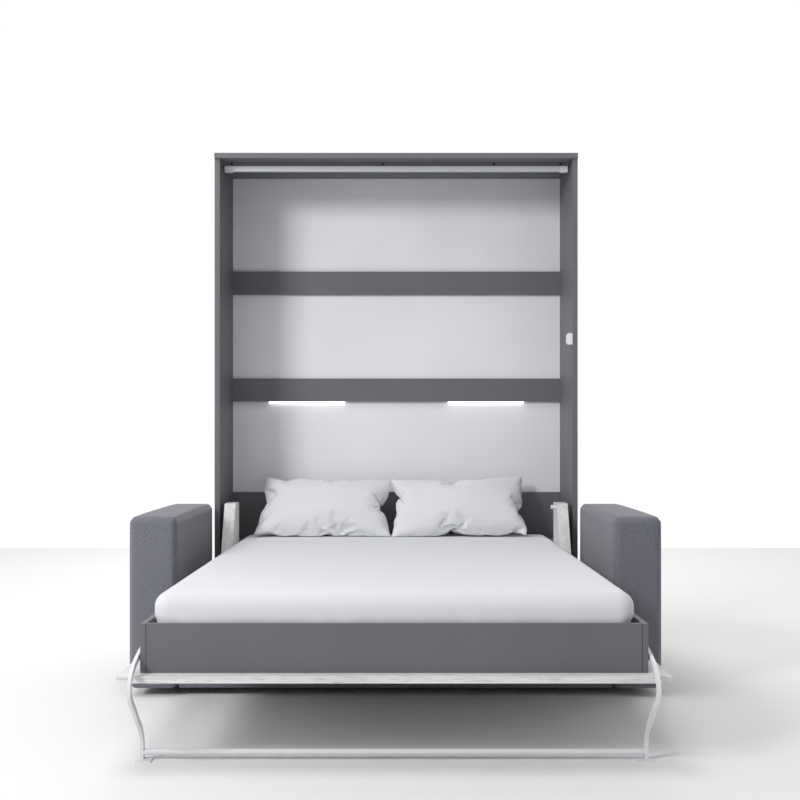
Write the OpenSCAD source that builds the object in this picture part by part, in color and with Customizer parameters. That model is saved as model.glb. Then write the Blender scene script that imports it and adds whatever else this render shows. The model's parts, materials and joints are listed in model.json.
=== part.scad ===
// Vertical wall bed for a 140 x 200 cm mattress, shown open, with the base of its sofa under it.
// Y = 0 is half way along the open object; the wall is on the +Y side and the foot end on the -Y side.

/* [Cabinet] */
// Outside width of the cabinet
cab_w = 1580; // [1500:10:1800]
// Outside height of the cabinet
cab_h = 2180; // [2100:10:2300]
// Depth of the cabinet's sides
cab_d = 460; // [440:10:520]
// Thickness of the grey boards
board_t = 22; // [18:1:25]
// Thickness of the boards in the bed frame and at the back of the cabinet
thin_t = 16; // [12:1:18]
// Distance from the cabinet's front edges to its back panel
back_y = 398; // [390:1:420]

/* [Bed] */
// Outside width of the bed frame
frame_w = 1462; // [1440:2:1480]
// Distance that the frame reaches in front of the cabinet
frame_reach = 1684; // [1600:1:1700]
// Distance that the white front panel reaches in front of the cabinet
panel_reach = 1731; // [1700:1:1750]
// Height of the panel's top face above the floor
panel_top = 270; // [250:1:300]
// Height of the bed frame's boards
rail_h = 142; // [120:1:150]
// Width of the mattress
mattress_w = 1390; // [1350:5:1400]
// Height of the mattress's top above the floor
mattress_top = 498; // [450:1:510]

/* [Sofa] */
// Thickness of each sofa arm
arm_w = 176; // [150:2:200]
// Depth of each sofa arm
arm_d = 805; // [700:5:900]
// Height of the sofa arms above the floor
arm_top = 656; // [560:2:700]

/* [Hidden] */

GREY = "#6d6e72";
PALE = "#c9cbcf";
WHITE_OAK = "#dddcd8";
WHITE_STEEL = "#e1e3e8";
ZINC = "#a9adb3";
DARK = "#2b2c2e";
FABRIC = "#6e6e79";
LINEN = "#e4e5e9";
BIRCH = "#d8c39a";

// Where the bed turns, measured from the cabinet's front edges and the floor
pivot_y = 45;
pivot_z = panel_top + 47;
axle_r = 8;
bush_r = 11;
running = 0.05;

// Cabinet
glide_h = 6;
half_in = cab_w / 2 - board_t;
top_z = cab_h - board_t;
rail_y = back_y - thin_t;
overhang = 10;
lower_t = 19;

// Bed
panel_t = 20;
panel_w = cab_w - 2;
panel_gap = 3;
rail_in = frame_w / 2 - thin_t;
rail_out = frame_w / 2;
head_y = 340;
joint_gap = 1.5;
slat_t = 8;
slat_base = panel_top + 13;
slat_w = 60;
slat_count = 15;
mattress_foot = frame_reach - thin_t - 5;
mattress_head = head_y - thin_t - 4;

// Side wings at the head of the bed
wing_in = 699;
wing_out = 746;
wing_top = 656;
wing_back = 110;
wing_foot = -120;
wing_wall = 12;

foot_t = 4;

// Folding leg: the centre line of its flat bar, from the pin down to the foot
leg_bar = 18;
leg_t = 10;
leg_x = rail_out + 5;
pin_r = 5;
pin_y = -1600;
pin_z = 328;
leg_way = [[-1560, 338], [pin_y, pin_z], [-1650, 318], [-1697, 305], [-1738, 288], [-1764, 266],
    [-1774, 235], [-1759, 206], [-1718, 172], [-1677, 133], [-1633, 93], [-1612, 54], [-1610, foot_t],
    [-1610, -30]];
leg_steps = 5;
crossbar_r = 9;
crossbar_z = 23;

// Gas springs, lying in the gap between the bed frame and the cabinet's sides
gas_x = half_in - 10;
gas_z = pivot_z - 37;
gas_eye_y = pivot_y + 30;
gas_mouth_y = 150;
gas_stud_y = 340;
gas_rod_r = 4;
gas_tube_r = 9;
gas_tube_l = 173;

// Sofa
arm_gap = 6;
arm_foot_h = 28;
seat_in = cab_w / 2 + arm_gap;
seat_front = -790;
seat_back = -24;
seat_top = 235;
pad_t = 50;

// The curve through four points of a path at t, and its direction
function bend(a, b, c, d, t) = 0.5 * (2 * b + (c - a) * t + (2 * a - 5 * b + 4 * c - d) * t * t
    + (3 * b - a - 3 * c + d) * t * t * t);
function bend_way(a, b, c, d, t) = 0.5 * ((c - a) + 2 * (2 * a - 5 * b + 4 * c - d) * t
    + 3 * (3 * b - a - 3 * c + d) * t * t);
function unit(v) = v / norm(v);
function side(v, w) = [-v[1], v[0]] * w / norm(v);
leg_last = len(leg_way) - 4;
leg_path = [for (i = [0:leg_last], k = [0:leg_steps - 1])
    concat([bend(leg_way[i], leg_way[i + 1], leg_way[i + 2], leg_way[i + 3], k / leg_steps)],
        [bend_way(leg_way[i], leg_way[i + 1], leg_way[i + 2], leg_way[i + 3], k / leg_steps)])];
leg_end = [leg_way[leg_last + 2], [0, -1]];
leg_line = concat(leg_path, [leg_end]);
leg_outer = [for (p = leg_line) p[0] - side(p[1], leg_bar / 2)];
leg_inner = [for (i = [len(leg_line) - 1:-1:0]) leg_line[i][0] + side(leg_line[i][1], leg_bar / 2)];
leg_reach = -min([for (p = leg_outer) p[0]]);

// The cabinet's front edges, so that the whole object is centred on the origin
face_y = (leg_reach - cab_d) / 2;

module at_face() { translate([0, face_y, 0]) children(); }

module both_sides() {
    children();
    mirror([1, 0, 0]) children();
}

// A box between two corners
module block(low, high) { translate(low) cube(high - low); }

// A cylinder lying along X from one side to the other
module across(x0, x1, y, z, r, sides = 48) {
    translate([x0, y, z]) rotate([0, 90, 0]) cylinder(h = x1 - x0, r = r, $fn = sides);
}

// An outline drawn in Y and Z, made solid from x0 to x1
module slab(x0, x1) {
    multmatrix([[0, 0, 1, x0], [1, 0, 0, 0], [0, 1, 0, 0], [0, 0, 0, 1]])
        linear_extrude(height = x1 - x0) children();
}

module side_panel() { block([half_in, 0, glide_h], [cab_w / 2, cab_d, top_z]); }

module side_panel_right() { color(GREY) at_face() side_panel(); }

module side_panel_left() { color(GREY) at_face() mirror([1, 0, 0]) side_panel(); }

module top_panel() {
    color(GREY) at_face() block([-cab_w / 2, -overhang, top_z], [cab_w / 2, cab_d, cab_h]);
}

module back_panel() {
    color(PALE) at_face() block([-half_in, back_y, 60], [half_in, back_y + 12, top_z]);
}

// A board across the back of the cabinet
module cross_board(z0, z1) {
    color(GREY) at_face() block([-half_in, rail_y, z0], [half_in, back_y, z1]);
}

module back_rail_upper() { cross_board(1612, 1720); }

module back_rail_middle() { cross_board(1111, 1219); }

module headboard_rail() { cross_board(480, 687); }

module bottom_rail() { cross_board(30, 180); }

module top_stiffener() {
    color(GREY) at_face() block([-half_in, 75, top_z - thin_t], [half_in, 150, top_z]);
}

// The pale bar under the top's front edge, with a groove along its lower face
module bar_profile(reach) { block([-reach, 76, 2120], [reach, 96, top_z - thin_t]); }

module top_profile() {
    color(WHITE_STEEL) at_face() difference() {
        bar_profile(750);
        block([-751, 82, 2119], [751, 90, 2124]);
    }
}

module profile_ends() {
    color(WHITE_STEEL) at_face() difference() {
        both_sides() block([725, 74, 2117], [757, 98, top_z - thin_t]);
        bar_profile(750);
    }
}

module led_strips() {
    color(WHITE_STEEL) at_face() both_sides() block([243, 384, 1106], [597, 396, 1111]);
}

// The catch that keeps the closed bed in, with its inner corners cut off
module side_catch() {
    color(WHITE_STEEL) at_face() translate([half_in, 30, 1373.5]) rotate([90, 0, 0])
        linear_extrude(height = 26)
            polygon([[0, -24.5], [-18, -24.5], [-25, -17], [-25, 17], [-18, 24.5], [0, 24.5]]);
}

wall_hole_x = 600;
wall_hole_z = top_z - 30;
wall_hole_r = 3;

module wall_brackets() {
    color(ZINC) at_face() both_sides() difference() {
        union() {
            block([wall_hole_x - 20, cab_d - 3, top_z - 45], [wall_hole_x + 20, cab_d, top_z]);
            block([wall_hole_x - 20, back_y + 14, top_z - 3], [wall_hole_x + 20, cab_d, top_z]);
        }
        translate([wall_hole_x, cab_d + 1, wall_hole_z]) rotate([90, 0, 0])
            cylinder(h = 5, r = wall_hole_r, $fn = 32);
    }
}

module cabinet_glides() {
    color(DARK) at_face() both_sides() for (y = [40, cab_d - 40])
        translate([cab_w / 2 - board_t / 2, y, 0]) cylinder(h = glide_h, r = 10, $fn = 40);
}

// The fixed board under the bed's panel, on two strips that keep it clear of the closing bed
module lower_front() {
    lower_top = panel_top - panel_t - 6;
    color(WHITE_OAK) at_face() union() {
        block([-panel_w / 2, -panel_gap - lower_t, 40], [panel_w / 2, -panel_gap, lower_top]);
        both_sides() block([half_in, -panel_gap, 60], [panel_w / 2, 0, lower_top - 20]);
    }
}

module pivot_axles() {
    color(ZINC) at_face() both_sides() union() {
        across(712, half_in, pivot_y, pivot_z, axle_r);
        across(half_in - 4, half_in, pivot_y, pivot_z, 24);
    }
}

// A tube that is closed at the wall end, with an eye for its stud
module gas_cylinder() {
    difference() {
        union() {
            translate([gas_x, gas_mouth_y, gas_z]) rotate([-90, 0, 0])
                cylinder(h = gas_tube_l, r = gas_tube_r, $fn = 48);
            translate([gas_x, gas_mouth_y + gas_tube_l - 1, gas_z]) rotate([-90, 0, 0])
                cylinder(h = 10, r = 5, $fn = 32);
            across(gas_x - 6, gas_x + 6, gas_stud_y, gas_z, 11);
        }
        translate([gas_x, gas_mouth_y - 1, gas_z]) rotate([-90, 0, 0])
            cylinder(h = 170, r = gas_rod_r + running, $fn = 32);
        across(gas_x - 7, gas_x + 7, gas_stud_y, gas_z, pin_r + running);
    }
}

module gas_cylinder_right() { color(DARK) at_face() gas_cylinder(); }

module gas_cylinder_left() { color(DARK) at_face() mirror([1, 0, 0]) gas_cylinder(); }

module gas_studs() {
    color(ZINC) at_face() both_sides() union() {
        across(gas_x - 8, half_in, gas_stud_y, gas_z, pin_r);
        across(gas_x + 6.5, half_in, gas_stud_y, gas_z, 14);
    }
}

module gas_rod() {
    difference() {
        union() {
            translate([gas_x, gas_eye_y + 7, gas_z]) rotate([-90, 0, 0])
                cylinder(h = 230, r = gas_rod_r, $fn = 32);
            across(gas_x - 6, gas_x + 6, gas_eye_y, gas_z, gas_tube_r);
        }
        across(gas_x - 7, gas_x + 7, gas_eye_y, gas_z, pin_r + running);
    }
}

module gas_rod_right() { color(ZINC) at_face() gas_rod(); }

module gas_rod_left() { color(ZINC) at_face() mirror([1, 0, 0]) gas_rod(); }

module side_rail() {
    difference() {
        block([rail_in, -frame_reach, panel_top], [rail_out, head_y, panel_top + rail_h]);
        across(rail_in - 1, rail_out + 1, pivot_y, pivot_z, bush_r);
        across(rail_in - 1, rail_out + 1, pin_y, pin_z, pin_r);
    }
}

module side_rail_right() { color(GREY) at_face() side_rail(); }

module side_rail_left() { color(GREY) at_face() mirror([1, 0, 0]) side_rail(); }

module foot_board() {
    color(GREY) at_face() block([-rail_in + joint_gap, -frame_reach, panel_top],
        [rail_in - joint_gap, -frame_reach + thin_t, panel_top + rail_h]);
}

module head_board() {
    color(GREY) at_face()
        block([-rail_in, head_y - thin_t, panel_top], [rail_in, head_y, panel_top + rail_h]);
}

module centre_beam() {
    color(BIRCH) at_face()
        block([-20, -frame_reach + thin_t, panel_top], [20, head_y - thin_t, slat_base]);
}

module slat_ledgers() {
    color(BIRCH) at_face() both_sides() block([rail_in - 20, -frame_reach + thin_t, panel_top],
        [rail_in, head_y - thin_t, slat_base]);
}

module slats() {
    first = -mattress_foot + 30;
    pitch = (mattress_head + mattress_foot - 60 - slat_w) / (slat_count - 1);
    color(BIRCH) at_face() for (i = [0:slat_count - 1])
        block([-rail_in + 2, first + i * pitch, slat_base],
            [rail_in - 2, first + i * pitch + slat_w, slat_base + slat_t]);
}

// An angle in each inside corner of the bed frame
module corner_bracket() {
    block([-30, 0, 0], [0, 3, 80]);
    block([-3, 0, 0], [0, 30, 80]);
}

module corner_brackets() {
    color(ZINC) at_face() both_sides() {
        translate([rail_in, -frame_reach + thin_t, 310]) corner_bracket();
        translate([rail_in, head_y - thin_t, 310]) mirror([0, 1, 0]) corner_bracket();
    }
}

module front_panel() {
    color(WHITE_OAK) at_face() block([-panel_w / 2, -panel_reach, panel_top - panel_t],
        [panel_w / 2, -panel_gap, panel_top]);
}

// A thin board under the head end, which hides the slats when the bed is up
module tail_board() {
    color(WHITE_OAK) at_face() block([-rail_out, 2, panel_top - 6], [rail_out, 105, panel_top]);
}

// Rubber stops along the front edge of the stiffener
module panel_buffers() {
    color(DARK) at_face() for (x = [-726, -58, 432, 726])
        translate([x, 75, top_z - thin_t / 2]) rotate([90, 0, 0]) cylinder(h = 5, r = 5, $fn = 32);
}

module mattress() {
    color(LINEN) at_face() block([-mattress_w / 2, -mattress_foot, slat_base + slat_t],
        [mattress_w / 2, mattress_head, mattress_top]);
}

// A pillow leaning back at the head of the bed
module pillow(x) {
    color(LINEN) at_face() translate([x, 214, mattress_top + 130.4]) rotate([50, 0, 0]) hull()
        for (u = [-250, 250], v = [-104, 104]) translate([u, v, 0]) sphere(r = 50, $fn = 24);
}

module pillow_left() { pillow(-325); }

module pillow_right() { pillow(281); }

// A hollow wing whose front leans back, open below
module wing() {
    rail_top = panel_top + rail_h;
    difference() {
        slab(wing_in, wing_out) polygon([[wing_foot, rail_top], [wing_back, rail_top],
            [wing_back, wing_top], [0, wing_top]]);
        slab(wing_in + wing_wall, wing_out - wing_wall) polygon([[wing_foot + 14, rail_top - 1],
            [wing_back - wing_wall, rail_top - 1], [wing_back - wing_wall, wing_top - wing_wall],
            [8, wing_top - wing_wall]]);
    }
}

module wing_right() { color(WHITE_OAK) at_face() wing(); }

module wing_left() { color(WHITE_OAK) at_face() mirror([1, 0, 0]) wing(); }

module wing_knob() {
    color(WHITE_STEEL) at_face() union() {
        across(682, wing_in, 18, 640, 5);
        across(676, 684, 18, 640, 9);
    }
}

module pivot_bushes() {
    color(DARK) at_face() both_sides() difference() {
        across(713, 737, pivot_y, pivot_z, bush_r);
        across(712, 738, pivot_y, pivot_z, axle_r + running);
    }
}

module crank_plates() {
    color(ZINC) at_face() both_sides() union() {
        difference() {
            block([rail_out, 20, panel_top + 2], [rail_out + 4, 105, panel_top + 90]);
            across(rail_out - 1, rail_out + 5, pivot_y, pivot_z, bush_r + 0.2);
        }
        across(rail_out + 3, gas_x - 8, gas_eye_y, gas_z, pin_r);
    }
}

module leg_pins() {
    color(ZINC) at_face() both_sides() union() {
        across(rail_in - 6, leg_x + leg_t + 0.6, pin_y, pin_z, pin_r);
        across(leg_x + leg_t + 0.5, leg_x + leg_t + 3, pin_y, pin_z, 9);
    }
}

module leg_arm() {
    difference() {
        union() {
            slab(leg_x, leg_x + leg_t) polygon(concat(leg_outer, leg_inner));
            across(leg_x, leg_x + leg_t, pin_y, pin_z, 13);
        }
        across(leg_x - 1, leg_x + leg_t + 1, pin_y, pin_z, pin_r + running);
    }
}

module leg_arm_right() { color(WHITE_STEEL) at_face() leg_arm(); }

module leg_arm_left() { color(WHITE_STEEL) at_face() mirror([1, 0, 0]) leg_arm(); }

module leg_crossbar() {
    color(WHITE_STEEL) at_face() difference() {
        across(-leg_x, leg_x, -1610, crossbar_z, crossbar_r);
        across(-leg_x - 1, leg_x + 1, -1610, crossbar_z, crossbar_r - 2);
    }
}

module leg_feet() {
    color(WHITE_STEEL) at_face() both_sides()
        block([711, -1645, 0], [758, -1598, foot_t]);
}

module sofa_arm() {
    block([seat_in, -arm_d - arm_gap, arm_foot_h], [seat_in + arm_w, -arm_gap, arm_top]);
}

module sofa_arm_right() { color(FABRIC) at_face() sofa_arm(); }

module sofa_arm_left() { color(FABRIC) at_face() mirror([1, 0, 0]) sofa_arm(); }

module seat_frame() {
    color(FABRIC) at_face() difference() {
        block([-seat_in, seat_front, arm_foot_h], [seat_in, seat_back, seat_top - pad_t]);
        block([-seat_in + 25, seat_front + 25, arm_foot_h - 1],
            [seat_in - 25, seat_back - 25, seat_top - pad_t - 18]);
    }
}

module seat_pad() {
    color(FABRIC) at_face() block([-seat_in + 2, seat_front, seat_top - pad_t],
        [seat_in - 2, seat_back, seat_top]);
}

module sofa_feet() {
    color(DARK) at_face() both_sides() for (y = [-634, -120])
        translate([seat_in + arm_w / 2 + 24, y, 0]) cylinder(h = arm_foot_h, r = 16, $fn = 40);
}

module sofa_bolts() {
    color(ZINC) at_face() both_sides() for (y = [-650, -160])
        across(seat_in - 35, seat_in - 25, y, 110, 8, 32);
}

side_panel_left();
side_panel_right();
top_panel();
back_panel();
back_rail_upper();
back_rail_middle();
headboard_rail();
bottom_rail();
top_stiffener();
top_profile();
profile_ends();
led_strips();
side_catch();
wall_brackets();
cabinet_glides();
lower_front();
pivot_axles();
gas_cylinder_left();
gas_cylinder_right();
gas_studs();
gas_rod_left();
gas_rod_right();
side_rail_left();
side_rail_right();
foot_board();
head_board();
centre_beam();
slat_ledgers();
slats();
corner_brackets();
front_panel();
tail_board();
panel_buffers();
mattress();
pillow_left();
pillow_right();
wing_left();
wing_right();
wing_knob();
pivot_bushes();
crank_plates();
leg_pins();
leg_arm_left();
leg_arm_right();
leg_crossbar();
leg_feet();
sofa_arm_left();
sofa_arm_right();
seat_frame();
seat_pad();
sofa_feet();
sofa_bolts();
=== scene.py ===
# %% [markdown]
# # A vertical wall bed with a sofa round it
# The bed hangs in a tall graphite cabinet and is shown open, standing on its folding leg.
# Its boards, leg and fittings are already exact solids, so they are loaded as a fixed frame
# and only get a finish here. Everything soft is made in this file, because cloth is never
# a plain box: the mattress, the pillows, the sofa's arms and its seat.

# %% Load the frame
import json
import math

import bpy
import numpy as np
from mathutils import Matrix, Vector, noise
from mathutils.bvhtree import BVHTree


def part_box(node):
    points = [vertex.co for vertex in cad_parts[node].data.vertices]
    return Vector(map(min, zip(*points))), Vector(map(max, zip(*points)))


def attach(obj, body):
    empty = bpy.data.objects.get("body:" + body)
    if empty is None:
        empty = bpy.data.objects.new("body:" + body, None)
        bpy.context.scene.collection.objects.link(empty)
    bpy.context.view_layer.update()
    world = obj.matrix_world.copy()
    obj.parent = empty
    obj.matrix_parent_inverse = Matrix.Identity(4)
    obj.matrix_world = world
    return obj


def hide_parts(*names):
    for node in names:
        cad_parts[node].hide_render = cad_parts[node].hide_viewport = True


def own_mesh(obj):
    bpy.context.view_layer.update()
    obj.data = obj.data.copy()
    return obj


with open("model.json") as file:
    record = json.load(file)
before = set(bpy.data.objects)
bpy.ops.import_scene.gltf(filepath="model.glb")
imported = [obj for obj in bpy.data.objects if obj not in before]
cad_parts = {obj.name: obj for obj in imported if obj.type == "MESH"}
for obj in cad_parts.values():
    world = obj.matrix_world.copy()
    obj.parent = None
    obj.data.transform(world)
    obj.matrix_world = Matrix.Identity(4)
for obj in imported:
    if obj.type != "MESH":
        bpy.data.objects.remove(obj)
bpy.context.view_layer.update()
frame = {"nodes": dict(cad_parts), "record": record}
scene = bpy.context.scene

# %% [markdown]
# ## Sizes
# A maker thinks in millimetres and Blender in metres, so one short function turns one into
# the other. The soft pieces take their places from the solids that they stand for.

# %% Sizes
MM = 0.001


def mm(*values):
    """Millimetres as metres: one number, or a tuple of them."""
    return values[0] * MM if len(values) == 1 else tuple(v * MM for v in values)


mattress_low, mattress_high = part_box("mattress")
print("mattress:", [round(v / MM) for v in mattress_high - mattress_low], "mm")

# %% [markdown]
# ## Colour and nodes
# Paint cards and fabric cards are matched in sRGB, but a shader mixes light in
# linear values. One function turns a hex code into linear numbers, and one adds a node with
# its settings and its links. Every finish below is built from these two.

# %% Helpers for finishes
def linear(code):
    """An sRGB hex code such as #8090a0 as a linear colour with alpha."""
    parts = [int(code[i:i + 2], 16) / 255 for i in (1, 3, 5)]
    return tuple(c / 12.92 if c <= 0.04045 else ((c + 0.055) / 1.055) ** 2.4 for c in parts) + (1,)


def add_node(tree, kind, inputs=None, **settings):
    """Adds a node, sets its properties, and links or sets its inputs."""
    node = tree.nodes.new(kind)
    for name, value in settings.items():
        setattr(node, name, value)
    for name, value in (inputs or {}).items():
        if isinstance(value, bpy.types.NodeSocket):
            tree.links.new(value, node.inputs[name])
        else:
            node.inputs[name].default_value = value
    return node


def new_finish(name, colour, roughness, metallic=0.0):
    """A material with one Principled shader. Returns the material, its tree and the shader."""
    finish = bpy.data.materials.new(name)
    finish.use_nodes = True
    tree = finish.node_tree
    shader = tree.nodes["Principled BSDF"]
    shader.inputs["Base Color"].default_value = linear(colour)
    shader.inputs["Roughness"].default_value = roughness
    shader.inputs["Metallic"].default_value = metallic
    return finish, tree, shader


def place(tree, stretch=(1, 1, 1)):
    """Object coordinates, stretched: a larger number makes a pattern tighter along that axis."""
    where = add_node(tree, "ShaderNodeTexCoord")
    return add_node(tree, "ShaderNodeMapping",
                    {"Vector": where.outputs["Object"], "Scale": stretch}).outputs["Vector"]


def two_tones(tree, amount, dark, light, low=0.3, high=0.7):
    """A ramp from a dark to a light tone, driven by a pattern."""
    ramp = add_node(tree, "ShaderNodeValToRGB", {"Fac": amount})
    ramp.color_ramp.elements[0].position = low
    ramp.color_ramp.elements[0].color = linear(dark)
    ramp.color_ramp.elements[1].position = high
    ramp.color_ramp.elements[1].color = linear(light)
    return ramp.outputs["Color"]


def roughen(tree, shader, height, depth_mm, strength=1.0):
    """Joins a pattern to the shader as a bump of a real depth in millimetres."""
    bump = add_node(tree, "ShaderNodeBump",
                    {"Height": height, "Distance": mm(depth_mm), "Strength": strength})
    tree.links.new(bump.outputs["Normal"], shader.inputs["Normal"])


finishes = {}
print("mid grey #808080 is", round(linear("#808080")[0], 3), "in linear values")

# %% [markdown]
# ## Graphite board
# The cabinet and the bed frame are melamine-faced chipboard: printed paper in hard resin,
# pressed against a plate with a fine pearl texture. That gives an even matte grey with a
# soft highlight and nearly no pattern. The pearl grain is about 2 mm.

# %% Melamine boards
GRAIN_MM = 2.0


def melamine(name, dark, light, roughness):
    """A nearly even colour under a fine pearl texture."""
    finish, tree, shader = new_finish(name, light, roughness)
    cloud = add_node(tree, "ShaderNodeTexNoise", {"Vector": place(tree), "Scale": 3.0, "Detail": 2.0})
    tree.links.new(two_tones(tree, cloud.outputs["Fac"], dark, light), shader.inputs["Base Color"])
    pearl = add_node(tree, "ShaderNodeTexNoise",
                     {"Vector": place(tree), "Scale": 1 / mm(GRAIN_MM), "Detail": 1.0})
    roughen(tree, shader, pearl.outputs["Fac"], 0.06)
    return finish


finishes["graphite_board"] = melamine("melamine_graphite", "#65666a", "#696a6e", 0.55)
finishes["pale_board"] = melamine("melamine_light_grey", "#e4e5e9", "#e9eaee", 0.6)
print("finishes:", list(finishes))

# %% [markdown]
# ## White craft oak
# The bed's front panel and the two wings are the same board with a printed oak that looks
# brushed with white paint: pale streaks along the grain, with thin grey pores. Noise that is
# stretched along the grain gives both, wide for the streaks and narrow for the pores.

# %% Printed oak
STREAK_MM = 26.0
PORE_MM = 5.0
STRETCH = 12.0


def white_oak(name, grain_axis):
    """Pale streaks and grey pores that run along one axis."""
    finish, tree, shader = new_finish(name, "#dfdfdc", 0.5)
    along = [1.0, 1.0, 1.0]
    along[grain_axis] = 1 / STRETCH
    where = place(tree, along)
    streak = add_node(tree, "ShaderNodeTexNoise",
                      {"Vector": where, "Scale": 1 / mm(STREAK_MM), "Detail": 4.0, "Distortion": 0.6})
    pores = add_node(tree, "ShaderNodeTexNoise",
                     {"Vector": where, "Scale": 1 / mm(PORE_MM), "Detail": 3.0})
    tone = two_tones(tree, streak.outputs["Fac"], "#d2d3d2", "#e2e3e2", 0.36, 0.62)
    line = two_tones(tree, pores.outputs["Fac"], "#d6d6d5", "#ffffff", 0.33, 0.45)
    mixed = add_node(tree, "ShaderNodeMix", {"Factor": 0.8, 6: tone, 7: line},
                     data_type="RGBA", blend_type="MULTIPLY")
    tree.links.new(mixed.outputs[2], shader.inputs["Base Color"])
    roughen(tree, shader, pores.outputs["Fac"], 0.15)
    return finish


finishes["white_oak"] = white_oak("white_craft_oak_across", 0)
oak_upright = white_oak("white_craft_oak_upright", 2)
print("oak streaks", STREAK_MM, "mm wide and", STREAK_MM * STRETCH, "mm long")

# %% [markdown]
# ## Metal, plastic and rubber
# The leg is steel bar with a white powder coat: baked dust that melts to a satin skin. The
# bar under the top is satin anodised aluminium. Fittings are zinc-plated steel, gas springs
# are painted tube, and feet and stops are black rubber. The light's cover is lit opal plastic.

# %% Plain finishes
finishes["white_steel"] = new_finish("powder_coat_white", "#e0e1e6", 0.38)[0]
finishes["pale_aluminium"] = new_finish("anodised_aluminium", "#dddfe3", 0.42, 0.35)[0]
finishes["white_plastic"] = new_finish("moulded_white_plastic", "#e9eaee", 0.35)[0]
finishes["zinc_steel"] = new_finish("zinc_plated_steel", "#a9adb3", 0.35, 1.0)[0]
finishes["black_rubber"] = new_finish("black_rubber", "#232426", 0.8)[0]
finishes["black_tube"] = new_finish("painted_black_tube", "#1f2023", 0.4)[0]

GLOW = 2.6
glow, _, glow_shader = new_finish("lit_opal_cover", "#ffffff", 0.5)
glow_shader.inputs["Emission Color"].default_value = linear("#ffffff")
glow_shader.inputs["Emission Strength"].default_value = GLOW
finishes["light_diffuser"] = glow
print("finishes:", list(finishes))

# %% [markdown]
# ## Birch slats
# The slats and their bearers are bent birch plywood under clear lacquer, warm and pale with
# a long fine grain.

# %% Birch plywood
birch, birch_tree, birch_shader = new_finish("lacquered_birch", "#d8c39a", 0.4)
birch_grain = add_node(birch_tree, "ShaderNodeTexNoise",
                       {"Vector": place(birch_tree, (0.05, 1, 1)), "Scale": 1 / mm(8), "Detail": 4.0})
birch_tone = two_tones(birch_tree, birch_grain.outputs["Fac"], "#c9b083", "#e2d0ab")
birch_tree.links.new(birch_tone, birch_shader.inputs["Base Color"])
finishes["birch_slats"] = birch
print("birch nodes:", len(birch_tree.nodes))

# %% [markdown]
# ## Cloth
# The bedding is cotton sateen: a tight smooth weave that looks even at arm's length, with a
# faint sheen and soft small creases. The sofa is a melange plain weave: each yarn is twisted
# from lighter and darker fibres, so the cloth is speckled. Its yarns are about 1 mm apart,
# and are drawn 3 mm apart, because finer ones would not show.

# %% Woven finishes
YARN_MM = 3.0
BANDS_PER_UNIT = 0.31


def sateen():
    """White cotton with soft small creases."""
    finish, tree, shader = new_finish("cotton_sateen_white", "#d9dade", 0.8)
    shader.inputs["Sheen Weight"].default_value = 0.15
    crease = add_node(tree, "ShaderNodeTexNoise",
                      {"Vector": place(tree), "Scale": 1 / mm(70), "Detail": 5.0, "Distortion": 0.8})
    roughen(tree, shader, crease.outputs["Fac"], 2.2, 0.5)
    return finish


def melange():
    """Speckled grey cloth, with one set of yarns along each axis."""
    finish, tree, shader = new_finish("melange_plain_weave", "#6c6d77", 0.9)
    shader.inputs["Sheen Weight"].default_value = 0.2
    where = place(tree)
    fleck = add_node(tree, "ShaderNodeTexNoise",
                     {"Vector": where, "Scale": 1 / mm(YARN_MM), "Detail": 3.0, "Roughness": 0.8})
    tone = two_tones(tree, fleck.outputs["Fac"], "#54555e", "#85868f", 0.34, 0.68)
    tree.links.new(tone, shader.inputs["Base Color"])
    weave = None
    for direction in ("X", "Y", "Z"):
        yarn = add_node(tree, "ShaderNodeTexWave",
                        {"Vector": where, "Scale": BANDS_PER_UNIT / mm(YARN_MM), "Distortion": 0.4},
                        bands_direction=direction)
        height = yarn.outputs["Fac"]
        if weave is None:
            weave = height
        else:
            weave = add_node(tree, "ShaderNodeMath", {0: weave, 1: height}, operation="ADD").outputs[0]
    roughen(tree, shader, weave, 0.25, 0.6)
    return finish


finishes["white_bedding"] = sateen()
finishes["sofa_fabric"] = melange()
print("yarns drawn", YARN_MM, "mm apart")

# %% [markdown]
# ## Dress the solids
# The record says which finish each solid takes, so a loop gives every one its material. The
# wings stand upright, and so does their grain, which is why they take the second oak.

# %% Dress the solids
for part in frame["record"]["subparts"]:
    solid = frame["nodes"][part["node"]]
    upright = part["node"] in ("wing_left", "wing_right")
    solid.data.materials.clear()
    solid.data.materials.append(oak_upright if upright else finishes[part["material_slot"]])

# %% [markdown]
# ## Round soft blocks
# A foam block in a cover is a box whose edges are round and whose faces swell a little. A
# bevelled cube would do, but its big faces would have too few points to swell. Here six
# grids are laid over the box, finer towards its edges, and each point is pulled to within a
# radius of a smaller box inside. The result is closed, all quads, and ready to be shaped.

# %% Make a rounded block
def marks(low, high, edge, fine, coarse):
    """Grid lines from low to high: fine ones within `edge` of both ends, coarse ones between."""
    near = max(2, round(edge / fine))
    middle = max(2, round((high - low - 2 * edge) / coarse))
    return np.concatenate([np.linspace(low, low + edge, near, endpoint=False),
                           np.linspace(low + edge, high - edge, middle, endpoint=False),
                           np.linspace(high - edge, high, near + 1)])


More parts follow.
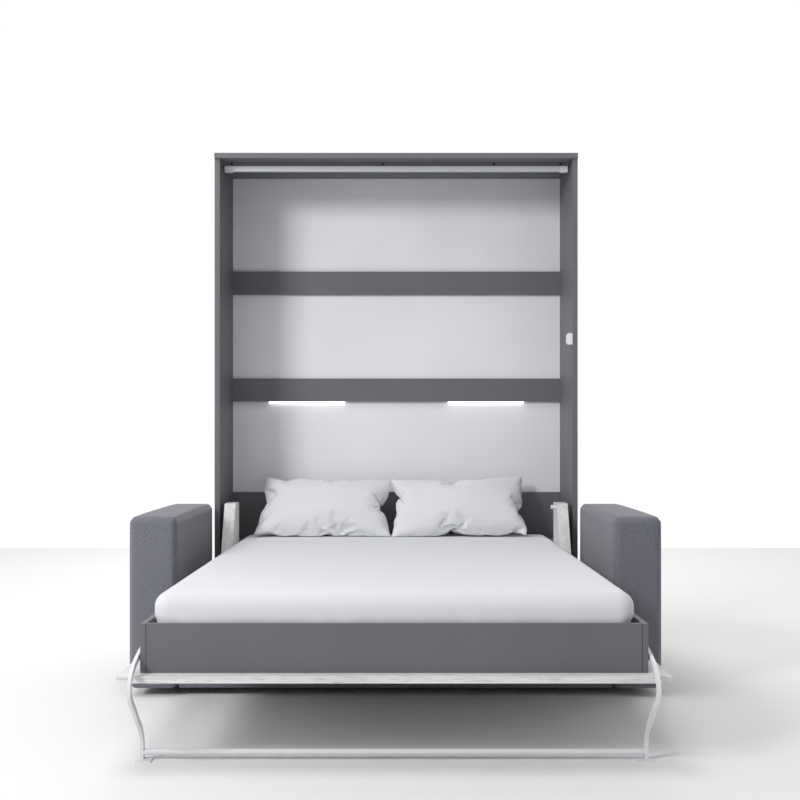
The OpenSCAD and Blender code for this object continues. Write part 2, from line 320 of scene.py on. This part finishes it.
def block_mesh(name, low, high, radius, fine, coarse):
    """A closed rounded block between two corners, with the distance `radius` round its edges."""
    low, high = np.array(low), np.array(high)
    lines = [marks(low[k], high[k], radius * 1.6, fine, coarse) for k in range(3)]
    counts = [len(line) for line in lines]
    found, points, faces = {}, [], []

    def corner(index):
        if index not in found:
            found[index] = len(points)
            points.append([lines[k][index[k]] for k in range(3)])
        return found[index]

    for axis in range(3):
        u, v = (axis + 1) % 3, (axis + 2) % 3
        for end in (0, counts[axis] - 1):
            for i in range(counts[u] - 1):
                for j in range(counts[v] - 1):
                    ring = []
                    for di, dj in ((0, 0), (1, 0), (1, 1), (0, 1)):
                        index = [0, 0, 0]
                        index[axis], index[u], index[v] = end, i + di, j + dj
                        ring.append(corner(tuple(index)))
                    faces.append(ring if end else ring[::-1])
    points = np.array(points)
    inner = np.clip(points, low + radius, high - radius)
    away = points - inner
    length = np.linalg.norm(away, axis=1, keepdims=True)
    points = inner + away / np.maximum(length, 1e-9) * np.minimum(radius, length)
    mesh = bpy.data.meshes.new(name)
    mesh.from_pydata(points.tolist(), [], faces)
    mesh.polygons.foreach_set("use_smooth", [True] * len(faces))
    mesh.update()
    return mesh


def points_of(mesh):
    """The points of a mesh as rows of x, y and z."""
    flat = np.zeros(len(mesh.vertices) * 3)
    mesh.vertices.foreach_get("co", flat)
    return flat.reshape(-1, 3)


def move_points(mesh, points):
    """Puts rows of x, y and z back into a mesh."""
    mesh.vertices.foreach_set("co", points.ravel())
    mesh.update()


def put(name, mesh, slot_name, body):
    """Links a finished mesh as an object that rides on a body and has a slot's finish."""
    piece = bpy.data.objects.new(name, mesh)
    scene.collection.objects.link(piece)
    mesh.materials.clear()
    mesh.materials.append(finishes[slot_name])
    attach(piece, body)
    return piece


print("grid lines on a 1 m edge:", len(marks(0, 1, mm(40), mm(7), mm(13))))

# %% [markdown]
# ## The mattress in its sheet
# A fitted sheet is stretched over the foam, so its top is nearly flat and its edges are
# round. Along the foot it forms shallow slanted folds that run down to where it is tucked
# under. The folds are moved points and not a bump, so that they show in the outline too.
# Above the bed's rails nothing holds the foam in, so there it stands out a little.

# %% Mattress
EDGE = mm(46)
FOLD_DEPTH = mm(5)
STAND_OUT = mm(7)


def fold_field(points, length, width, seed):
    """Soft ridges: noise that is long one way and narrow the other."""
    return np.array([noise.noise(Vector((x / width + seed, y / width, z / length)))
                     for x, y, z in points])


def mattress_cover():
    """The mattress in its sheet, as a crowned block with folds along its foot."""
    mesh = block_mesh("mattress_cover", mattress_low, mattress_high, EDGE, mm(7), mm(13))
    points = points_of(mesh)
    centre = (np.array(mattress_low) + np.array(mattress_high)) / 2
    half = (np.array(mattress_high) - np.array(mattress_low)) / 2
    share = (points - centre) / half
    crown = np.clip(1 - share[:, 0] ** 4, 0, 1) * np.clip(1 - share[:, 1] ** 4, 0, 1)
    on_top = np.clip((points[:, 2] - mattress_high[2] + mm(12)) / mm(12), 0, 1)
    points[:, 2] += mm(5) * crown * on_top
    slanted = points.copy()
    slanted[:, 0] += 0.5 * (points[:, 2] - centre[2])
    folds = fold_field(slanted, mm(420), mm(52), 3.0)
    wide = fold_field(slanted[:, [1, 2, 0]], mm(700), mm(160), 9.0)
    low_down = np.clip((mattress_high[2] - mm(40) - points[:, 2]) / mm(90), 0, 1) ** 1.5
    front = np.clip((-share[:, 1] - 0.9) / 0.08, 0, 1)
    sides = np.clip((np.abs(share[:, 0]) - 0.9) / 0.08, 0, 1)
    points[:, 1] -= front * low_down * (FOLD_DEPTH * np.maximum(folds, -0.2) * 2)
    points[:, 0] += np.sign(share[:, 0]) * sides * low_down * mm(4) * wide
    points[:, 2] += on_top * mm(1.6) * wide
    over_rail = np.clip((points[:, 2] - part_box("foot_board")[1][2]) / mm(15), 0, 1)
    points[:, 0] += np.sign(share[:, 0]) * sides * over_rail * STAND_OUT
    move_points(mesh, points)
    return put("mattress_cover", mesh, "white_bedding", "bed")


mattress = mattress_cover()
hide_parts("mattress")
print("mattress:", len(mattress.data.polygons), "faces")

# %% [markdown]
# ## Pillows by pressure
# A pillow is two flat pieces of cloth sewn round their edges and then filled. The cloth
# can't stretch, so as it fills, its edges draw in, its corners stay pointed, and creases run
# from the seam towards the middle. A cloth simulation with pressure inside and no gravity
# gives that. The flat pieces are cut with bowed edges, so that a full pillow still has
# nearly straight sides. The bag is filled twice, with a different start each time, so that
# the two pillows differ as real ones do.

# %% Sew a bag
BAG_STEP = mm(8)
BOW_SIDES = 0.07
BOW_LONG = 0.22


def bag_mesh(name, width, height, seed):
    """Two grids that share their bowed outer points, with a slight uneven puff to start from."""
    nx, ny = round(width / BAG_STEP), round(height / BAG_STEP)
    points, faces, index = [], [], {}
    for layer in (1, -1):
        for i in range(nx + 1):
            for j in range(ny + 1):
                rim = i in (0, nx) or j in (0, ny)
                if rim and layer == -1:
                    index[i, j, layer] = index[i, j, 1]
                    continue
                index[i, j, layer] = len(points)
                u, v = i / nx - 0.5, j / ny - 0.5
                x = u * width * (1 + BOW_SIDES * math.cos(math.pi * v))
                y = v * height * (1 + BOW_LONG * math.cos(math.pi * u))
                puff = 0 if rim else mm(10) * math.sin(math.pi * i / nx) * math.sin(math.pi * j / ny)
                ripple = 0 if rim else mm(5) * noise.noise(Vector((x * 14, y * 14, seed + layer)))
                points.append((x, y, layer * (puff + mm(2)) + ripple))
        for i in range(nx):
            for j in range(ny):
                ring = [index[i, j, layer], index[i + 1, j, layer],
                        index[i + 1, j + 1, layer], index[i, j + 1, layer]]
                faces.append(ring if layer == 1 else ring[::-1])
    mesh = bpy.data.meshes.new(name)
    mesh.from_pydata([tuple(p) for p in points], [], faces)
    mesh.update()
    return mesh


def fill_bag(mesh, pressure, frames):
    """Fills the bag by a cloth simulation and returns the filled mesh."""
    bag = bpy.data.objects.new("bag", mesh)
    scene.collection.objects.link(bag)
    cloth = bag.modifiers.new("fill", "CLOTH")
    cloth.settings.quality = 6
    cloth.settings.mass = 0.2
    cloth.settings.tension_stiffness = 25
    cloth.settings.compression_stiffness = 25
    cloth.settings.shear_stiffness = 10
    cloth.settings.bending_stiffness = 0.05
    cloth.settings.air_damping = 2.0
    cloth.settings.use_pressure = True
    cloth.settings.uniform_pressure_force = pressure
    cloth.settings.effector_weights.gravity = 0
    cloth.point_cache.frame_start, cloth.point_cache.frame_end = 1, frames
    for step in range(1, frames + 1):
        scene.frame_set(step)
    graph = bpy.context.evaluated_depsgraph_get()
    filled = bpy.data.meshes.new_from_object(bag.evaluated_get(graph))
    bpy.data.objects.remove(bag)
    scene.frame_set(1)
    return filled


print("bag grid:", round(BAG_STEP / MM), "mm apart")

# %% [markdown]
# ## Fill and lean the pillows
# The filled bag is brought to the pillow's size, leant back against the bed's head, and
# flattened where it rests on the mattress.

# %% Fill and lean the pillows
LEAN = math.radians(50)
PILLOW = mm(606, 330, 168)
CUT_LARGER = (1.12, 1.3)
PRESSURE = 6.0
FRAMES = 26
REST_GAP = mm(6)


def smoother(mesh, name):
    """One level of subdivision, applied."""
    rough = bpy.data.objects.new(name, mesh)
    scene.collection.objects.link(rough)
    rough.modifiers.new("smooth", "SUBSURF").levels = 1
    graph = bpy.context.evaluated_depsgraph_get()
    made = bpy.data.meshes.new_from_object(rough.evaluated_get(graph))
    bpy.data.objects.remove(rough)
    return made


def pillow(name, node, seed, turn):
    """One filled pillow, turned a little in its own plane and leant back."""
    bag = bag_mesh(name, PILLOW[0] * CUT_LARGER[0], PILLOW[1] * CUT_LARGER[1], seed)
    filled = fill_bag(bag, PRESSURE, FRAMES)
    mesh = smoother(filled, name)
    points = points_of(mesh)
    points -= (points.max(0) + points.min(0)) / 2
    points *= np.array(PILLOW) / (points.max(0) - points.min(0))
    low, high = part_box(node)
    spin = np.array([[math.cos(turn), -math.sin(turn)], [math.sin(turn), math.cos(turn)]])
    points[:, :2] = points[:, :2] @ spin.T
    across, up, out = points.T
    leaning = np.stack([across, up * math.cos(LEAN) - out * math.sin(LEAN),
                        up * math.sin(LEAN) + out * math.cos(LEAN)], axis=1)
    leaning += (np.array(low) + np.array(high)) / 2
    floor_z = mattress_high[2] + REST_GAP
    sunk = np.maximum(floor_z - leaning[:, 2], 0)
    leaning[:, 2] = np.maximum(leaning[:, 2], floor_z) - 0.1 * sunk
    move_points(mesh, leaning)
    mesh.name = name
    mesh.polygons.foreach_set("use_smooth", [True] * len(mesh.polygons))
    piece = put(name, mesh, "white_bedding", "bed")
    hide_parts(node)
    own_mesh(piece)
    return piece


pillows = [pillow("pillow_case_left", "pillow_left", 1.3, -0.03),
           pillow("pillow_case_right", "pillow_right", 7.9, 0.02)]
print("pillows:", [len(p.data.polygons) for p in pillows], "faces")

# %% [markdown]
# ## Upholstered arms
# Each arm is a wooden box under foam, in a cover of three pieces: two side panels and one
# long strip that runs up the back, over the top and down the front. Where they are sewn the
# thread pulls the cloth in, so a narrow groove runs round each side panel. Between the
# seams the foam pushes the cloth out a little.

# %% Sofa arms
SEAM_IN = mm(7)
SEAM_DEPTH = mm(2.6)
SEAM_HALF = mm(3.2)
ARM_EDGE = mm(26)


def seam_groove(points, low, high):
    """How deep the cloth is pulled in at each point by the seams round the side panels."""
    from_side = np.minimum(points[:, 0] - low[0], high[0] - points[:, 0])
    return SEAM_DEPTH * np.exp(-((from_side - SEAM_IN) / SEAM_HALF) ** 2)


def arm_cover(name, node, inner_side):
    """An arm in its cover. Its inner side, next to the bed, swells less than its outer side."""
    low, high = (np.array(corner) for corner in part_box(node))
    mesh = block_mesh(name, low, high, ARM_EDGE, mm(2.6), mm(16))
    points = points_of(mesh)
    centre, half = (low + high) / 2, (high - low) / 2
    share = (points - centre) / half
    swell = np.clip(1 - share ** 4, 0, 1)
    groove = seam_groove(points, low, high)
    side = np.sign(share[:, 0]) * (np.abs(share[:, 0]) > 0.99)
    bulge = np.where(side == inner_side, mm(3), mm(5))
    points[:, 0] += side * bulge * swell[:, 1] * swell[:, 2]
    front = share[:, 1] < -0.9
    points[:, 1] -= front * (mm(4) * swell[:, 0] * swell[:, 2] - groove)
    top = share[:, 2] > 0.9
    points[:, 2] += top * (mm(5) * swell[:, 0] * swell[:, 1] - groove)
    slack = fold_field(points, mm(260), mm(190), 5.0)
    points[:, 0] += side * mm(1.2) * slack * swell[:, 1] * swell[:, 2]
    move_points(mesh, points)
    piece = put(name, mesh, "sofa_fabric", "cabinet")
    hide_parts(node)
    return piece


arms = [arm_cover("arm_cover_left", "sofa_arm_left", 1),
        arm_cover("arm_cover_right", "sofa_arm_right", -1)]
print("arms:", [len(a.data.polygons) for a in arms], "faces")

# %% [markdown]
# ## Seat
# Under the open bed is the sofa's seat: a covered box that joins the arms, and a foam pad
# on it. Only its front shows, in the shade, but the piece is whole from every side.

# %% Seat box and pad
def seat_cover(name, node, radius, swell_mm):
    """A rounded block whose front swells a little."""
    low, high = (np.array(corner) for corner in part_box(node))
    mesh = block_mesh(name, low, high, radius, mm(4), mm(22))
    points = points_of(mesh)
    share = (points - (low + high) / 2) / ((high - low) / 2)
    swell = np.clip(1 - share ** 4, 0, 1)
    points[:, 1] -= (share[:, 1] < -0.98) * mm(swell_mm) * swell[:, 0] * swell[:, 2]
    move_points(mesh, points)
    piece = put(name, mesh, "sofa_fabric", "cabinet")
    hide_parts(node)
    return piece


seat_box = seat_cover("seat_box_cover", "seat_frame", mm(9), 2)
seat_pad = seat_cover("seat_pad_cover", "seat_pad", mm(16), 6)
print("seat:", len(seat_box.data.polygons) + len(seat_pad.data.polygons), "faces")

# %% [markdown]
# ## Stitches
# The seams are closed with a lockstitch, a row of short threads that follows a path and
# repeats hundreds of times. Geometry Nodes lay it: the path is cut into equal steps and a
# small flat thread is set at each point, turned along the path.

# %% A tree that lays stitches
def stitch_tree():
    """A node group that sets a thread at equal steps along a path."""
    tree = bpy.data.node_groups.new("stitch_row", "GeometryNodeTree")
    tree.interface.new_socket("Geometry", in_out="INPUT", socket_type="NodeSocketGeometry")
    for name in ("Pitch", "Thread length", "Thread radius"):
        tree.interface.new_socket(name, in_out="INPUT", socket_type="NodeSocketFloat")
    tree.interface.new_socket("Thread", in_out="INPUT", socket_type="NodeSocketMaterial")
    tree.interface.new_socket("Geometry", in_out="OUTPUT", socket_type="NodeSocketGeometry")
    given = add_node(tree, "NodeGroupInput").outputs
    path = add_node(tree, "GeometryNodeMeshToCurve", {"Mesh": given["Geometry"]})
    steps = add_node(tree, "GeometryNodeCurveToPoints",
                     {"Curve": path.outputs["Curve"], "Length": given["Pitch"]}, mode="LENGTH")
    thread = add_node(tree, "GeometryNodeMeshCylinder",
                      {"Vertices": 6, "Radius": given["Thread radius"], "Depth": given["Thread length"]})
    row = add_node(tree, "GeometryNodeInstanceOnPoints",
                   {"Points": steps.outputs["Points"], "Instance": thread.outputs["Mesh"],
                    "Rotation": steps.outputs["Rotation"]})
    real = add_node(tree, "GeometryNodeRealizeInstances", {"Geometry": row.outputs["Instances"]})
    dressed = add_node(tree, "GeometryNodeSetMaterial",
                       {"Geometry": real.outputs["Geometry"], "Material": given["Thread"]})
    add_node(tree, "NodeGroupOutput", {"Geometry": dressed.outputs["Geometry"]})
    return tree


def set_input(modifier, name, value):
    """Sets a Geometry Nodes input by its identifier."""
    socket = next(s for s in modifier.node_group.interface.items_tree
                  if s.name == name and s.in_out == "INPUT")
    modifier[socket.identifier] = value


STITCHES = stitch_tree()
print("stitch tree:", len(STITCHES.nodes), "nodes")

# %% [markdown]
# ## Sew the arms
# Each arm has two seams. A path is drawn up the back, over the top and down the front, and
# its end and corner points are moved to the nearest place on the cloth. Between them the path
# stays straight while the cloth swells, so some of the threads there lie just under the cloth.

# %% Sew the arms
thread_finish = new_finish("polyester_thread_grey", "#4b4c55", 0.6)[0]
TURN_POINTS = 7


def seam_path(low, high, x):
    """Up the back, over the top and down the front of an arm, with round corners."""
    r = ARM_EDGE
    path = [(x, high[1], low[2] + r)]
    for y, z, start in ((high[1] - r, high[2] - r, 0), (low[1] + r, high[2] - r, 90)):
        for step in range(TURN_POINTS):
            angle = math.radians(start + 90 * step / (TURN_POINTS - 1))
            path.append((x, y + r * math.cos(angle), z + r * math.sin(angle)))
    path.append((x, low[1], low[2] + r))
    return path


def sew_arm(name, node, cover):
    """Stitches along both seams of an arm, between points that lie on its cover."""
    low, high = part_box(node)
    faces = [tuple(face.vertices) for face in cover.data.polygons]
    cloth = BVHTree.FromPolygons(points_of(cover.data).tolist(), faces)
    points, edges = [], []
    for x in (low[0] + SEAM_IN, high[0] - SEAM_IN):
        path = seam_path(low, high, x)
        edges += [(len(points) + i, len(points) + i + 1) for i in range(len(path) - 1)]
        points += path
    points = [tuple(cloth.find_nearest(Vector(point))[0]) for point in points]
    lines = bpy.data.meshes.new(name)
    lines.from_pydata(points, edges, [])
    carrier = bpy.data.objects.new(name, lines)
    scene.collection.objects.link(carrier)
    sew = carrier.modifiers.new("sew", "NODES")
    sew.node_group = STITCHES
    set_input(sew, "Pitch", mm(6))
    set_input(sew, "Thread length", mm(4.2))
    set_input(sew, "Thread radius", mm(0.7))
    set_input(sew, "Thread", thread_finish)
    graph = bpy.context.evaluated_depsgraph_get()
    mesh = bpy.data.meshes.new_from_object(carrier.evaluated_get(graph))
    bpy.data.objects.remove(carrier)
    piece = bpy.data.objects.new(name, mesh)
    scene.collection.objects.link(piece)
    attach(piece, "cabinet")
    return piece


stitches = [sew_arm("arm_stitches_left", "sofa_arm_left", arms[0]),
            sew_arm("arm_stitches_right", "sofa_arm_right", arms[1])]
print("stitches:", [len(s.data.polygons) // 8 for s in stitches])

# %% [markdown]
# ## Floor
# The bed stands on a pale floor that ends behind it in a straight line.

# %% Floor
FLOOR_BACK = 5.34
floor_mesh = bpy.data.meshes.new("studio_floor")
floor_mesh.from_pydata([(-9, -9, 0), (9, -9, 0), (9, FLOOR_BACK, 0), (-9, FLOOR_BACK, 0)],
                       [], [(0, 1, 2, 3)])
floor = bpy.data.objects.new("studio_floor", floor_mesh)
scene.collection.objects.link(floor)
floor_mesh.materials.append(new_finish("pale_floor", "#e9e9e9", 0.85)[0])
print("floor ends", FLOOR_BACK, "m back")

# %% [markdown]
# ## Backdrop
# A wall behind the floor glows evenly, so it is plain white whatever the lamps do.

# %% Backdrop
WALL_BACK = FLOOR_BACK + 0.01
wall_mesh = bpy.data.meshes.new("studio_wall")
wall_mesh.from_pydata([(-14, WALL_BACK, -0.02), (14, WALL_BACK, -0.02), (14, WALL_BACK, 12),
                       (-14, WALL_BACK, 12)], [], [(0, 1, 2, 3)])
wall = bpy.data.objects.new("studio_wall", wall_mesh)
scene.collection.objects.link(wall)
white_wall, _, wall_shader = new_finish("white_backdrop", "#000000", 1.0)
wall_shader.inputs["Emission Color"].default_value = (1, 1, 1, 1)
wall_shader.inputs["Emission Strength"].default_value = 1.0
wall_mesh.materials.append(white_wall)
print("wall at", WALL_BACK, "m")

# %% [markdown]
# ## Light
# A white world gives soft light from all round. The main lamp stands high at the front left:
# it shapes the cloth, and the cabinet's left side shades the back panel next to it. A
# second lamp overhead lights the bed's top, and a third lights the floor far behind.

# %% Light
world = bpy.data.worlds.new("white_studio")
scene.world = world
world.use_nodes = True
world.node_tree.nodes["Background"].inputs["Color"].default_value = (1, 1, 1, 1)
world.node_tree.nodes["Background"].inputs["Strength"].default_value = 0.43
scene.view_settings.view_transform = "Standard"


def lamp(name, place_at, aim, size, power):
    """A square lamp at a place in metres, turned towards its aim."""
    light = bpy.data.lights.new(name, "AREA")
    light.size, light.energy = size, power
    holder = bpy.data.objects.new(name, light)
    scene.collection.objects.link(holder)
    holder.location = place_at
    holder.rotation_euler = (Vector(aim) - Vector(place_at)).to_track_quat("-Z", "Y").to_euler()


lamp("front_left", (-4.2, -4.2, 3.7), (0, 0.4, 0.9), 1.6, 218)
lamp("overhead", (-0.9, -0.7, 5.2), (0, -0.3, 0.4), 2.4, 78)
lamp("far_floor", (0, 4.6, 4.6), (0, 4.4, 0), 4.0, 160)
print("lamps:", [light.name for light in bpy.data.lights])

# %% [markdown]
# ## Camera
# The camera stands at chest height straight in front of the bed, a little right of its
# middle. Its lens is shifted and not tilted, so that the cabinet's sides stay upright.

# %% Camera
lens = bpy.data.cameras.new("front_lens")
lens.lens, lens.sensor_width, lens.shift_y = 51.4, 36.0, 0.0436
camera = bpy.data.objects.new("front_camera", lens)
scene.collection.objects.link(camera)
cabinet_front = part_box("side_panel_right")[0].y
camera.location = (mm(16.7), cabinet_front - mm(4970), mm(955))
camera.rotation_euler = (math.radians(90), 0, 0)
scene.camera = camera
print("camera:", [round(v, 3) for v in camera.location])
